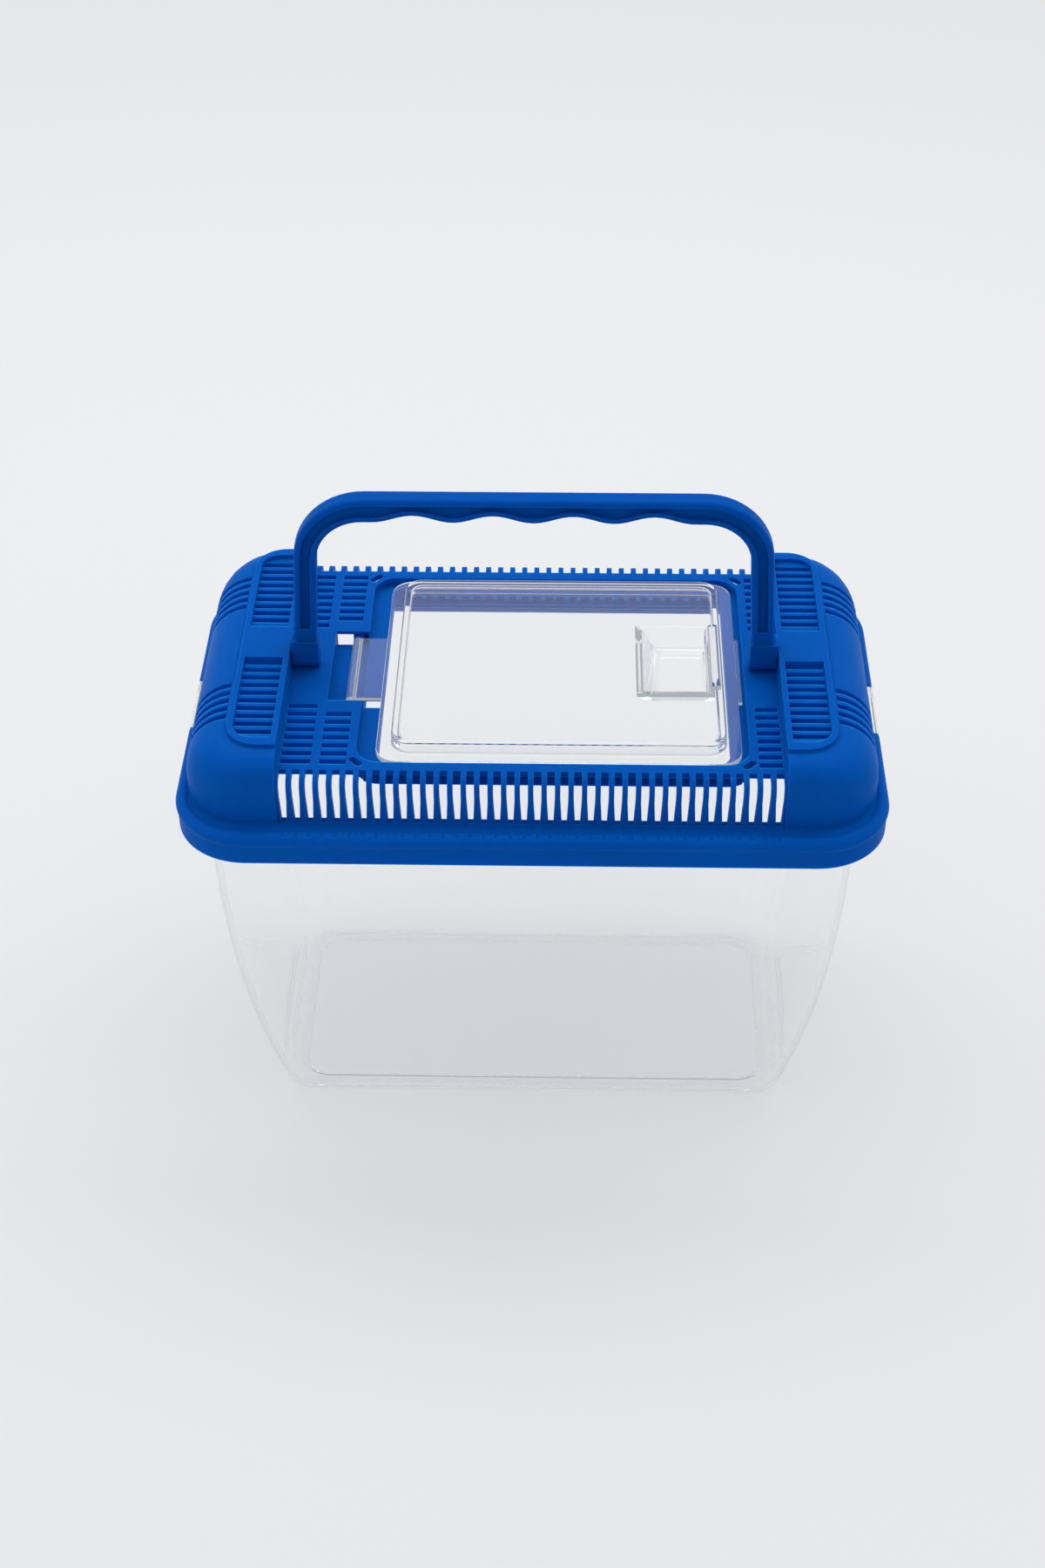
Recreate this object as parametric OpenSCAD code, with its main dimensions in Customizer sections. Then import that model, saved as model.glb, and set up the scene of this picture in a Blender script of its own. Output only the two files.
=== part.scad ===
// Small plastic pet keeper: a clear moulded tank, a slotted lid that lifts off, a clear hinged
// hatch in the lid and a carrying handle that folds to the front or to the rear.
// Millimetres. X is the length, Y the width (-Y is the front), Z is up from the surface the tank stands on.

/* [Tank] */
// Length of the tank over its walls, just under the rim
tank_l = 164; // [154:1:179]
// Width of the tank over its walls, just under the rim
tank_w = 100; // [96:1:115]
// Height of the tank to the top of its rim
tank_h = 110; // [95:1:135]
// Corner radius of the walls under the rim
tank_corner = 14; // [11:0.5:18]
// Length of the base that the tank stands on
base_l = 139; // [122:1:152]
// Width of the base that the tank stands on
base_w = 66; // [56:1:85]
// Corner radius of the base
base_corner = 7.5; // [6.5:0.5:14]
// Height of the upright strip of wall under the rim, above the walls' inward curve
upright_h = 4; // [4:1:30]
// Thickness of the tank's walls and floor
tank_wall = 1.6; // [1.2:0.1:2.2]
// How far the floor panel stands above the foot ring
panel_rise = 1.6; // [1:0.1:2.5]
// Corner radius of the floor panel's upper edge
floor_corner = 8; // [6:0.5:12]
// Width of the foot ring round the floor panel
foot_w = 5.5; // [4:0.5:8]
// How far the rim stands out from the walls at the two ends
rim_end = 5.8; // [5.2:0.1:6.6]
// How far the rim stands out from the walls at the front and rear
rim_side = 2.8; // [2.2:0.1:3.6]
// Thickness of the rim
rim_t = 2; // [1.5:0.1:3]
// Width of the locating lug on each end of the rim
lug_w = 20; // [12:1:26]

/* [Lid] */
// Wall thickness of the lid
lid_wall = 1.7; // [1.4:0.1:2.2]
// Height of the skirt that hangs round the tank's rim
skirt_h = 8; // [6:0.5:12]
// Radius of the roll along the top edge of the skirt
roll_r = 2; // [1.8:0.1:2.4]
// How far the roll stands out over the skirt's face
roll_out = 0.4; // [0.1:0.1:0.6]
// Width of the ledge between the roll's outside and the dome, at the two ends
ledge_end = 3; // [2.8:0.1:5]
// Width of the ledge between the roll's outside and the dome, at the front and rear
ledge_side = 6.2; // [5:0.1:9]
// Corner radius of the dome where it meets the ledge
dome_corner = 16; // [13:0.5:18]
// Height of the deck above the ledge
deck_rise = 13; // [11:0.5:16]
// Radius of the deck's shoulder along the two grilles
deck_shoulder = 3.5; // [2.5:0.1:4.5]
// How far the grilles lie behind the end pods' walls
grille_back = 0.8; // [0.4:0.1:1.2]
// Height of the pods above the deck
pod_rise = 5.2; // [4.8:0.1:6.5]
// Radius of the pods' shoulders at the two ends
pod_end_r = 12.5; // [10:0.5:14]
// Radius of the pods' shoulders at the front and rear
pod_side_r = 5.5; // [4:0.5:7]
// Height of the flat panel that stands on each pod
panel_up = 1.1; // [0.5:0.1:1.2]
// Corner radius of the panels
panel_corner = 8; // [5:0.5:9]

/* [Vents] */
// Number of gaps in each grille
grille_gaps = 38; // [30:1:42]
// Width of a grille bar at the deck
grille_bar = 1.35; // [1.1:0.05:1.6]
// How much narrower each gap is at its foot
gap_taper = 0.7; // [0:0.1:0.8]
// Pitch of the louvre slots
slot_pitch = 3.2; // [3:0.1:3.3]
// Width of a louvre slot
slot_w = 2; // [1.6:0.1:2.1]
// Number of slots in each window of a pod
window_slots = 10; // [7:1:10]
// Distance from the middle of the two windows to the first slot of each
window_first = 7.7; // [7:0.1:8]
// How far the windows are shifted to the rear
window_shift = 1.6; // [0:0.1:1.8]
// Land between the last slot and the window's outer end
window_end = 2.4; // [1.5:0.1:2.6]
// Corner radius of a window's outer corner
window_corner = 5; // [3:0.5:6]
// How far a window's slats lie under the panel
slat_sunk = 1.2; // [0.6:0.1:1.3]
// Number of slots in each group on the pods' end shoulders
shoulder_slots = 5; // [3:1:5]
// Width of the rim round a window
window_rim = 1.4; // [1.2:0.1:1.8]
// Number of slots in each outer column of the deck
deck_slots = 8; // [5:1:8]

/* [Hatch] */
// Length of the hatch over its flange, without the hinge leaf
hatch_l = 91.5; // [80:0.5:92]
// Width of the hatch over its flange
hatch_w = 78.4; // [70:0.2:79]
// How far the hatch's middle lies right of the lid's middle
hatch_x = 6.75; // [6:0.25:7.5]
// Corner radius of the hatch's flange
hatch_corner = 5.5; // [3:0.5:7]
// Wall thickness of the hatch
hatch_wall = 1.5; // [1.2:0.1:1.8]
// Width of the flange round the raised top
flange_w = 3.8; // [3:0.1:5]
// Height of the raised top above the flange
top_rise = 3.5; // [3:0.1:4.5]
// How far the flange lies under the deck
flange_sunk = 0.5; // [0.3:0.1:1]
// Width of the hinge leaf
leaf_w = 26; // [18:1:30]
// Radius of the hinge bar along the leaf's end
bar_r = 1.3; // [1.2:0.1:1.8]
// Radius of the hinge bar's end pins
hinge_pin_r = 1; // [0.8:0.1:1.1]
// How far each of those pins reaches into its bearing
hinge_pin_in = 1.4; // [1:0.1:1.7]
// Distance from the hinge axis to the flange
leaf_l = 7.8; // [7:0.1:8.4]
// Length of the finger dish
dish_l = 17; // [15:1:22]
// Width of the finger dish
dish_w = 28; // [22:1:36]
// Depth of the finger dish
dish_d = 4.6; // [3:0.1:4.8]
// Length of the slopes at the dish's left end, front and rear
dish_slope = 4; // [2:0.5:6]
// Radius of the half-round pull ridge
ridge_r = 1.9; // [1.5:0.1:2.2]
// How far the catch tab stands out from the flange
catch_out = 1; // [0.5:0.1:1.2]
// Width of the catch tab
catch_w = 27; // [16:1:30]

/* [Handle] */
// Length of the handle over the outside of its feet
handle_l = 125.2; // [122:0.2:127]
// Height of the handle above its pivot axis
handle_h = 49.2; // [47:0.2:60]
// Depth of the handle from front to rear
handle_d = 5.4; // [4.8:0.1:7]
// Width of each leg
leg_w = 5.8; // [5.2:0.1:6.6]
// How far each foot stands out from the leg on both sides
foot_wider = 0.6; // [0:0.1:1]
// Height of the wide foot above the pivot axis
foot_h = 6; // [4:0.5:8]
// How far each leg leans in from the foot to the corner
leg_lean = 1.6; // [0:0.1:3]
// Outer radius of the two upper corners
bend_r = 18.5; // [15:0.5:22]
// Depth of the grip at its fullest
grip_t = 6.7; // [6:0.1:10]
// Depth of each finger scallop
scallop_d = 2; // [1:0.1:2.6]
// Length of one finger scallop
scallop_l = 20; // [17:0.5:20]
// Width of the rim round the sunk web
web_rim = 1.6; // [1.2:0.1:2]
// How far the web is sunk in the front and rear faces
web_sunk = 1.5; // [0.8:0.1:2]
// Radius of the pivot pins
pivot_r = 1.5; // [1.2:0.1:1.6]
// Length of the pivot pins
pivot_l = 2; // [1.6:0.1:2.1]

/* [Fits] */
// Gap between the tank's rim and the inside of the skirt
skirt_fit = 0.5; // [0.3:0.1:1]
// Gap between the top of the tank's rim and the ledge that rests on it
seat_gap = 0.3; // [0.2:0.1:0.5]
// Gap round each lug in its notch
lug_gap = 0.4; // [0.3:0.1:0.8]
// Gap between the hatch's flange and the recess round it
hatch_gap = 0.8; // [0.5:0.1:1]
// Gap left of the hatch, where the recess floor shows
hinge_side_gap = 4.8; // [4:0.1:5.5]
// Gap between the hatch and the shelf under it
shelf_gap = 0.4; // [0.3:0.1:0.6]
// Gap between each end of the hinge bar and the alcove's wall
leaf_gap = 2; // [0.8:0.1:2.2]
// Running clearance of every pin in its bore, on the radius
pin_gap = 0.08; // [0.05:0.01:0.1]
// Gap between a leg's outer face and the pod's wall
leg_gap = 0.4; // [0.3:0.1:0.5]
// Gap between the folded handle and the deck
fold_gap = 0.3; // [0.3:0.1:0.6]

/* [Hidden] */
$fn = 48;
corner_steps = 8; // straight steps in each corner of a lofted ring
shoulder_steps = 8; // rings over a pod's shoulder
wall_steps = 9; // rings up the tank's curved wall
over = 1; // how far a cut runs past the face that it opens
more = 60; // a length longer than any height or wall that is cut

// Tank
rim_half = [tank_l / 2 + rim_end, tank_w / 2 + rim_side];
rim_corner = tank_corner + rim_side;
curve_h = tank_h - rim_t - upright_h; // height up to which the walls curve inwards to the base
panel_size = [base_l, base_w] - 2 * [foot_w, foot_w]; // underside of the raised floor panel
base_round = 1.2; // rounding of the edge that the tank stands on
lug_in = 1.3; // how far the lugs reach in over the rim
lug_under = 0.2; // how far the lugs stay inside the lid's outer faces

// Lid, outwards and upwards from the tank's rim
roll_up = 0.4; // how far the roll stands above the ledge
panel_over = 1.3; // how far each panel runs out over the end shoulder
panel_back = 0.5; // flat left beside each panel at the front and rear
notch_back = 0.2; // how far the end notches stay clear of the dome
bar_flat = 1.4; // flat length of a grille bar between its beam and the shoulder
grille_foot = 0.1; // height of the grille gaps' feet above the ledge
taper_h = 7; // height over which the grille gaps narrow
lid_half = [rim_half.x + skirt_fit + lid_wall, rim_half.y + skirt_fit + lid_wall];
lid_corner = rim_corner + skirt_fit + lid_wall;
ledge_under = tank_h + seat_gap;
ledge_z = ledge_under + lid_wall;
skirt_z = ledge_z - skirt_h;
deck_z = ledge_z + deck_rise;
dome_z = deck_z + pod_rise;
panel_z = dome_z + panel_up;
dome_half = [lid_half.x - ledge_end, lid_half.y - ledge_side];
grille_y = dome_half.y - grille_back;
beam_y = grille_y - deck_shoulder - bar_flat; // outer edge of the beam that carries the bars
pod_x = handle_l / 2 + leg_gap;
panel_x = dome_half.x - pod_end_r + panel_over;
panel_y = dome_half.y - pod_side_r - panel_back;
notch_x = dome_half.x + notch_back;

// Vents of the pods and the deck
shoulder_foot = 1.5; // height of the shoulder slots' ends above the ledge
shoulder_land = 0.8; // land between a panel and the shoulder slots
shoulder_skip = 3; // window slots nearer the middle than the first shoulder slot
column_l = 7.5; // length of a slot in the outer deck columns
pod_land = 0.7; // land between a pod and the deck slots
column_land = 2.2; // land between the two columns at the left
beam_land = 2.1; // land between a grille's beam and the last deck slot
frame_land = 0.4; // land between the hatch's frame and the deck slots
corner_hole_r = 1; // half width of the holes at the recess's corners
corner_hole_l = 4.2; // length of those holes
corner_hole_in = 0.2; // how far inside the recess's sharp corners they lie

// Hatch and its recess
flange_top = deck_z - flange_sunk;
flange_under = flange_top - hatch_wall;
shelf_z = flange_under - shelf_gap;
hatch_top = flange_top + top_rise;
hatch_left = hatch_x - hatch_l / 2;
hatch_right = hatch_x + hatch_l / 2;
hinge_x = hatch_left - leaf_l;
hinge_z = flange_top - bar_r;
recess_left = hatch_left - hinge_side_gap;
recess_right = hatch_right + hatch_gap + catch_out;
recess_y = hatch_w / 2 + hatch_gap;
recess_corner = 6;
tray_d = 3.3; // depth of the frame under the shelf
alcove_room = 4.5; // room left of the hinge bar
bar_gap = 0.7; // gap under the hinge bar
opening_inset = 0.6; // how far the shelf reaches under the flange
catch_shelf = 2.8; // how far it does so at the catch
tray_under = shelf_z - tray_d;
alcove_y = leaf_w / 2 + leaf_gap;
alcove_left = hinge_x - bar_r - alcove_room;
alcove_z = hinge_z - bar_r - bar_gap;
ridge_x = hatch_right - flange_w - ridge_r;
ridge_low = 0.5; // how far the ridge's axis lies under the hatch's top
ridge_short = 0.7; // how much shorter than the dish the ridge is at each end
// Openings that the mould leaves by the ends of the hinge bar: two in the alcove's rear wall, on either
// side of the bearing, the left one down through the floor, and one in the shelf, which is thin round it
bearing_half = 1.4;
hole_head = 1; // land between these openings and the deck's upper face
rear_hole = 1.2; // length of the right one
floor_hole = 0.8; // how far the left one runs into the alcove's floor
front_hole = [[recess_left + 0.5, -alcove_y], [hatch_left - 0.2, 4.2 - alcove_y]];
shelf_thin = 1.2;
shelf_thin_l = 7;

// Handle
pivot_z = deck_z + handle_d / 2 + fold_gap;
grip_under = handle_h - grip_t;
foot_out = handle_l / 2;
foot_in = foot_out - leg_w - 2 * foot_wider;
leg_out = foot_out - foot_wider;
leg_in = leg_out - leg_w;
bend_x = leg_out - leg_lean - bend_r;
bend_tight = 6.5; // how much smaller the inner corners' radius is
inner_bend_r = bend_r - bend_tight;
inner_bend_x = leg_in - leg_lean - inner_bend_r;
foot_top = 9; // height of the solid foot over the pivot axis

// Points of an arc of radius r round c, from angle a to angle b
function arc(c, r, a, b, n) = [for (i = [0:n]) c + r * [cos(a + (b - a) * i / n), sin(a + (b - a) * i / n)]];

// One ring of a loft: a rectangle of half sizes h with corner radius r, at height z
function ring(h, r, z) = [
    for (q = [0:3])
        let (sx = (q == 0 || q == 3) ? 1 : -1, sy = q < 2 ? 1 : -1, c = [sx * (h.x - r), sy * (h.y - r)])
            for (p = arc(c, r, 90 * q, 90 * q + 90, corner_steps)) [p.x, p.y, z]
];

// Closed solid through a list of rings that all have the same number of points
module loft(rings) {
    n = len(rings[0]);
    last = len(rings) - 1;
    sides = [
        for (k = [0:last - 1], i = [0:n - 1])
            let (j = (i + 1) % n, a = k * n + i, b = k * n + j, c = a + n, d = b + n)
                each [[a, c, b], [b, c, d]]
    ];
    floor_face = [for (i = [0:n - 1]) i];
    roof_face = [for (i = [n - 1:-1:0]) last * n + i];
    polyhedron(points = [for (r = rings) each r], faces = concat([floor_face, roof_face], sides));
}

// Rectangle with round corners, about the origin
module round_rect(size, r) {
    square([size.x - 2 * r, size.y], center = true);
    square([size.x, size.y - 2 * r], center = true);
    for (sx = [-1, 1], sy = [-1, 1])
        translate([sx * (size.x / 2 - r), sy * (size.y / 2 - r)])
            circle(r);
}

// Draws its children again on the other side of the XZ plane
module both_sides() {
    children();
    mirror([0, 1, 0])
        children();
}

// Draws its children again at the other end
module both_ends() {
    children();
    mirror([1, 0, 0])
        children();
}

// A block given by its low and high corners
module block(low, high) {
    translate(low)
        cube(high - low);
}

// ---- Tank ----

// Half sizes of the tank's walls at height z, inset by t from the outer face
function wall_half(z, t) =
    let (s = z < curve_h ? pow(1 - z / curve_h, 2) : 0)
        [tank_l / 2 - t - s * (tank_l - base_l) / 2, tank_w / 2 - t - s * (tank_w - base_w) / 2];

// Corner radius of the walls at height z, inset by t
function wall_corner(z, t) = tank_corner - t - (tank_corner - base_corner) * max(0, 1 - z / curve_h);

// Heights of the rings from z0 up to the top, closer together near the base
function wall_heights(z0, top) = concat(
    [for (i = [0:wall_steps]) z0 + (curve_h - z0) * pow(i / wall_steps, 1.4)],
    [top]
);

module tank_body(t, z0, top) {
    loft([for (z = wall_heights(z0, top)) ring(wall_half(z, t), wall_corner(z, t), z)]);
}

// The lowest edge is rounded, so the base starts as a slightly smaller ring
module tank_base() {
    mid = base_round * (1 - cos(45));
    loft([
        ring(wall_half(0, base_round), base_corner - base_round, 0),
        ring(wall_half(0, mid), base_corner - mid, mid),
        ring(wall_half(base_round, 0), wall_corner(base_round, 0), base_round)
    ]);
}

module tank_lug() {
    x_out = lid_half.x - lug_under;
    block([rim_half.x - lug_in, -lug_w / 2, skirt_z + lug_under], [x_out, lug_w / 2, tank_h]);
    block([notch_x + lug_gap, -lug_w / 2, tank_h - over], [x_out, lug_w / 2, ledge_z - lug_under]);
}

module tank() {
    color([0.88, 0.9, 0.92, 0.45])
        difference() {
            union() {
                difference() {
                    union() {
                        tank_base();
                        tank_body(0, base_round, tank_h - rim_t);
                        translate([0, 0, tank_h - rim_t])
                            linear_extrude(rim_t)
                                round_rect(2 * rim_half, rim_corner);
                        both_ends()
                            tank_lug();
                    }
                    tank_body(tank_wall, tank_wall, tank_h + over);
                }
                linear_extrude(tank_wall + panel_rise)
                    round_rect(panel_size + 2 * [tank_wall, tank_wall], floor_corner);
            }
            translate([0, 0, -over])
                linear_extrude(over + panel_rise)
                    round_rect(panel_size, floor_corner - tank_wall);
        }
}

// ---- Lid ----

// Section of the lid's edge, with x measured out from the corner's centre: ledge, roll and skirt
module edge_section() {
    difference() {
        union() {
            translate([lid_corner - lid_wall, skirt_z])
                square([lid_wall - roll_out, skirt_h - roll_r]);
            translate([lid_corner - ledge_side - lid_wall, ledge_under])
                square([ledge_side + lid_wall - roll_r, lid_wall]);
            translate([lid_corner - roll_r, ledge_z - roll_r + roll_up])
                circle(roll_r);
        }
        translate([0, skirt_z - over])
            square([lid_corner - lid_wall, ledge_under - skirt_z + over]);
    }
}

// The section run along one straight side of length l, at distance d from the middle
module edge_side(l, d) {
    translate([-l / 2, 0, 0])
        rotate([90, 0, 90])
            linear_extrude(l)
                translate([d - lid_corner, 0])
                    edge_section();
}

module lid_edge() {
    straight = 2 * (lid_half - [lid_corner, lid_corner]);
    both_sides()
        edge_side(straight.x, lid_half.y);
    both_ends()
        rotate([0, 0, -90])
            edge_side(straight.y, lid_half.x);
    for (q = [0:3])
        let (sx = (q == 0 || q == 3) ? 1 : -1, sy = q < 2 ? 1 : -1)
            translate([sx * straight.x / 2, sy * straight.y / 2, 0])
                rotate([0, 0, 90 * q])
                    rotate_extrude(angle = 90)
                        edge_section();
}

// Section of the deck across the lid, inset by t: flat on top, round along the two grilles
module deck_section(t) {
    y = grille_y - t;
    z = deck_z - t;
    r = deck_shoulder - t;
    low = ledge_under - over;
    translate([-y, low])
        square([2 * y, z - r - low]);
    translate([-y + r, low])
        square([2 * (y - r), z - low]);
    for (s = [-1, 1])
        translate([s * (y - r), z - r])
            circle(r);
}

module deck_run(t, l) {
    translate([-l / 2, 0, 0])
        rotate([90, 0, 90])
            linear_extrude(l)
                deck_section(t);
}

// Rings of the dome that the pods are cut from, inset by t
function dome_ring(a, t) =
    let (
        x_r = pod_end_r - t,
        y_r = pod_side_r - t,
        z = dome_z - pod_end_r + x_r * sin(a),
        y_in = z > dome_z - pod_side_r ? y_r - sqrt(max(0, y_r * y_r - pow(z - dome_z + pod_side_r, 2))) : 0,
        x_in = x_r * (1 - cos(a)),
        corner = dome_corner - t - (dome_corner - panel_corner) * (1 - cos(a))
    )
        ring([dome_half.x - t - x_in, dome_half.y - t - y_in], corner, z);

module dome(t, z0) {
    loft(concat(
        [ring(dome_half - [t, t], dome_corner - t, z0)],
        [for (i = [0:shoulder_steps]) dome_ring(90 * i / shoulder_steps, t)]
    ));
}

// Keeps the part of its children that lies outside |x| = x
module beyond(x) {
    intersection() {
        children();
        both_ends()
            block([x, -more, 0], [x + more, more, panel_z + more]);
    }
}

module pods() {
    beyond(pod_x) {
        dome(0, ledge_under);
        translate([0, window_shift, dome_z - lid_wall / 2])
            linear_extrude(panel_up + lid_wall / 2)
                round_rect([2 * panel_x, 2 * panel_y], panel_corner);
    }
}

// Everything inside the lid's walls
module lid_hollow() {
    deck_run(lid_wall, 2 * (pod_x + lid_wall + over));
    beyond(pod_x + lid_wall)
        dome(lid_wall, ledge_under - over);
    translate([0, 0, skirt_z - over])
        linear_extrude(ledge_z - skirt_z)
            round_rect(2 * (dome_half - [lid_wall, lid_wall]), dome_corner - lid_wall);
}

// Plan of the recess that the hatch lies in, grown by t
module recess_plan(t) {
    translate([(recess_left + recess_right) / 2, 0])
        round_rect([recess_right - recess_left, 2 * recess_y] + 2 * [t, t], recess_corner + t);
}

// Plan of the alcove that the hinge lies in, grown by t
module alcove_plan(t) {
    translate([alcove_left - t, -alcove_y - t])
        square([recess_left - alcove_left + 2 * t, 2 * (alcove_y + t)]);
}

// The frame that stands under the deck round the hatch, and the alcove's walls
module tray() {
    translate([0, 0, tray_under])
        linear_extrude(deck_z - tray_under)
            recess_plan(lid_wall);
    translate([0, 0, alcove_z - lid_wall])
        linear_extrude(deck_z - alcove_z + lid_wall)
            alcove_plan(lid_wall);
}

module tray_cuts() {
    translate([0, 0, shelf_z])
        linear_extrude(more)
            recess_plan(0);
    translate([0, 0, alcove_z])
        linear_extrude(more)
            alcove_plan(0);
    opening_l = hatch_l - opening_inset - catch_shelf;
    translate([hatch_left + opening_inset + opening_l / 2, 0, tray_under - over])
        linear_extrude(deck_z - tray_under + 2 * over)
            round_rect([opening_l, hatch_w - 2 * opening_inset], hatch_corner - opening_inset);
    both_sides()
        translate([hinge_x, 0, hinge_z])
            rotate([-90, 0, 0])
                cylinder(r = hinge_pin_r + pin_gap, h = alcove_y + lid_wall + over);
    hole_top = deck_z - hole_head;
    hole_y = alcove_y + lid_wall + over;
    block([alcove_left, alcove_y - floor_hole, alcove_z - lid_wall - over],
        [hinge_x - bearing_half, hole_y, hole_top]);
    translate([hinge_x + bearing_half, 0, 0])
        block([0, alcove_y - over, alcove_z], [rear_hole, hole_y, hole_top]);
    block(concat(front_hole[0], alcove_z - more), concat(front_hole[1], deck_z));
    thin_high = [front_hole[1].x, front_hole[0].y + shelf_thin_l, shelf_z - shelf_thin];
    block(concat(front_hole[0], tray_under - over), thin_high);
}

// Small oval holes outside the four corners of the recess
module corner_holes() {
    r = corner_hole_r;
    half_l = corner_hole_l / 2 - r;
    half_x = (recess_right - recess_left) / 2 - corner_hole_in;
    translate([(recess_left + recess_right) / 2, 0, tray_under - over])
        both_ends()
            both_sides()
                translate([half_x, recess_y - corner_hole_in, 0])
                    rotate([0, 0, -45]) {
                        for (s = [-1, 1])
                            translate([s * half_l, 0, 0])
                                cylinder(r = r, h = more);
                        block([-half_l, -r, 0], [half_l, r, more]);
                    }
}

// Gaps of one grille, narrower towards the foot
module grille_cuts() {
    pitch = 2 * pod_x / grille_gaps;
    top_w = pitch - grille_bar;
    low_w = top_w - gap_taper;
    foot_z = ledge_z + grille_foot;
    waist_z = foot_z + taper_h;
    rotate([90, 0, 0])
        translate([0, 0, beam_y])
            linear_extrude(more)
                for (i = [0:grille_gaps - 1])
                    translate([(i - (grille_gaps - 1) / 2) * pitch, 0])
                        polygon([
                            [-low_w / 2, foot_z], [low_w / 2, foot_z],
                            [top_w / 2, waist_z], [top_w / 2, deck_z + over],
                            [-top_w / 2, deck_z + over], [-top_w / 2, waist_z]
                        ]);
}

// A row of n slots in Y, the first one centred at y0, from x0 to x1
module slot_row(x0, x1, y0, n) {
    for (i = [0:n - 1])
        translate([x0, y0 + i * slot_pitch - slot_w / 2])
            square([x1 - x0, slot_w]);
}

// Outline of a window on the right pod, with its first slot at y = first
module window_plan(first) {
    x0 = pod_x + window_rim;
    x1 = panel_x - window_rim;
    y0 = first - slot_w / 2;
    y1 = y0 + (window_slots - 1) * slot_pitch + slot_w + window_end;
    r = window_corner;
    translate([x0, y0])
        square([x1 - x0 - r, y1 - y0]);
    translate([x0, y0])
        square([x1 - x0, y1 - y0 - r]);
    translate([x1 - r, y1 - r])
        circle(r);
}

module pod_vents(first) {
    shoulder_y = first + shoulder_skip * slot_pitch;
    translate([0, 0, dome_z - lid_wall - over])
        linear_extrude(more)
            intersection() {
                window_plan(first);
                slot_row(pod_x, panel_x, first, window_slots);
            }
    translate([0, 0, panel_z - slat_sunk])
        linear_extrude(more)
            window_plan(first);
    translate([0, 0, ledge_z + shoulder_foot])
        linear_extrude(more)
            slot_row(panel_x + shoulder_land, dome_half.x + over, shoulder_y, shoulder_slots);
}

module deck_vents() {
    outer = pod_x - pod_land;
    inner = outer - column_l;
    right_in = max(inner, recess_right + lid_wall + frame_land);
    left_in = recess_left - lid_wall - frame_land;
    y_first = beam_y - beam_land - slot_w / 2 - (deck_slots - 1) * slot_pitch;
    translate([0, 0, deck_z - lid_wall - over])
        linear_extrude(more) {
            slot_row(right_in, outer, y_first, deck_slots);
            slot_row(-outer, -inner, y_first, deck_slots);
            slot_row(-inner + column_land, left_in, y_first + slot_pitch, deck_slots - 1);
        }
}

module lid() {
    notch_y = lug_w / 2 + lug_gap;
    color([0.03, 0.25, 0.62])
        difference() {
            union() {
                difference() {
                    union() {
                        lid_edge();
                        deck_run(0, 2 * pod_x + over);
                        pods();
                    }
                    lid_hollow();
                }
                tray();
            }
            tray_cuts();
            corner_holes();
            both_sides() {
                grille_cuts();
                deck_vents();
            }
            both_ends() {
                pod_vents(window_first + window_shift);
                mirror([0, 1, 0])
                    pod_vents(window_first - window_shift);
                translate([pod_x - over, 0, pivot_z])
                    rotate([0, 90, 0])
                        cylinder(r = pivot_r + pin_gap, h = lid_wall + over);
                block([notch_x, -notch_y, skirt_z - over], [notch_x + more, notch_y, ledge_z + over]);
            }
        }
}

// ---- Hatch ----

// Plate of the hatch, inset by d from the flange, from z0 to z1
module hatch_plate(d, r, z0, z1) {
    translate([hatch_x, 0, z0])
        linear_extrude(z1 - z0)
            round_rect([hatch_l - 2 * d, hatch_w - 2 * d], r);
}

// The finger dish, grown by t: slopes at the left, front and rear and an upright wall at the right
module dish_solid(t) {
    x1 = ridge_x - ridge_r + t;
    x0 = ridge_x - ridge_r - dish_l - t;
    y = dish_w / 2 + t;
    z = hatch_top - dish_d - t;
    intersection() {
        translate([0, y, 0])
            rotate([90, 0, 0])
                linear_extrude(2 * y)
                    polygon([[x0, hatch_top], [x0 + dish_slope, z], [x1, z], [x1, hatch_top]]);
        translate([x0, 0, 0])
            rotate([90, 0, 90])
                linear_extrude(x1 - x0)
                    polygon([[-y, hatch_top], [dish_slope - y, z], [y - dish_slope, z], [y, hatch_top]]);
    }
}

module hatch() {
    pin_half = alcove_y + hinge_pin_in;
    top_corner = hatch_corner - 1;
    roof_under = hatch_top - hatch_wall;
    catch_x = hatch_right + catch_out;
    color([0.88, 0.9, 0.92, 0.45])
        difference() {
            union() {
                difference() {
                    union() {
                        hatch_plate(0, hatch_corner, flange_under, flange_top);
                        hatch_plate(flange_w, top_corner, flange_under, hatch_top);
                    }
                    hatch_plate(flange_w + hatch_wall, top_corner - 1, flange_under - over, roof_under);
                }
                dish_solid(hatch_wall);
                translate([ridge_x, dish_w / 2 - ridge_short, hatch_top - ridge_low])
                    rotate([90, 0, 0])
                        cylinder(r = ridge_r, h = dish_w - 2 * ridge_short);
                // Catch tab at the right, hinge leaf and hinge bar at the left
                block([hatch_right - over, -catch_w / 2, flange_under], [catch_x, catch_w / 2, flange_top]);
                block([hinge_x, -leaf_w / 2, flange_under], [hatch_left + over, leaf_w / 2, flange_top]);
                translate([hinge_x, leaf_w / 2, hinge_z])
                    rotate([90, 0, 0])
                        cylinder(r = bar_r, h = leaf_w);
                translate([hinge_x, pin_half, hinge_z])
                    rotate([90, 0, 0])
                        cylinder(r = hinge_pin_r, h = 2 * pin_half);
            }
            dish_solid(0);
        }
}

// ---- Handle ----

// Underside of the grip above the pivot axis at x: a wave of finger scallops between straight ends
function grip_z(x) = grip_under + scallop_d / 2 * (1 - cos(360 * x / scallop_l));

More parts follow.
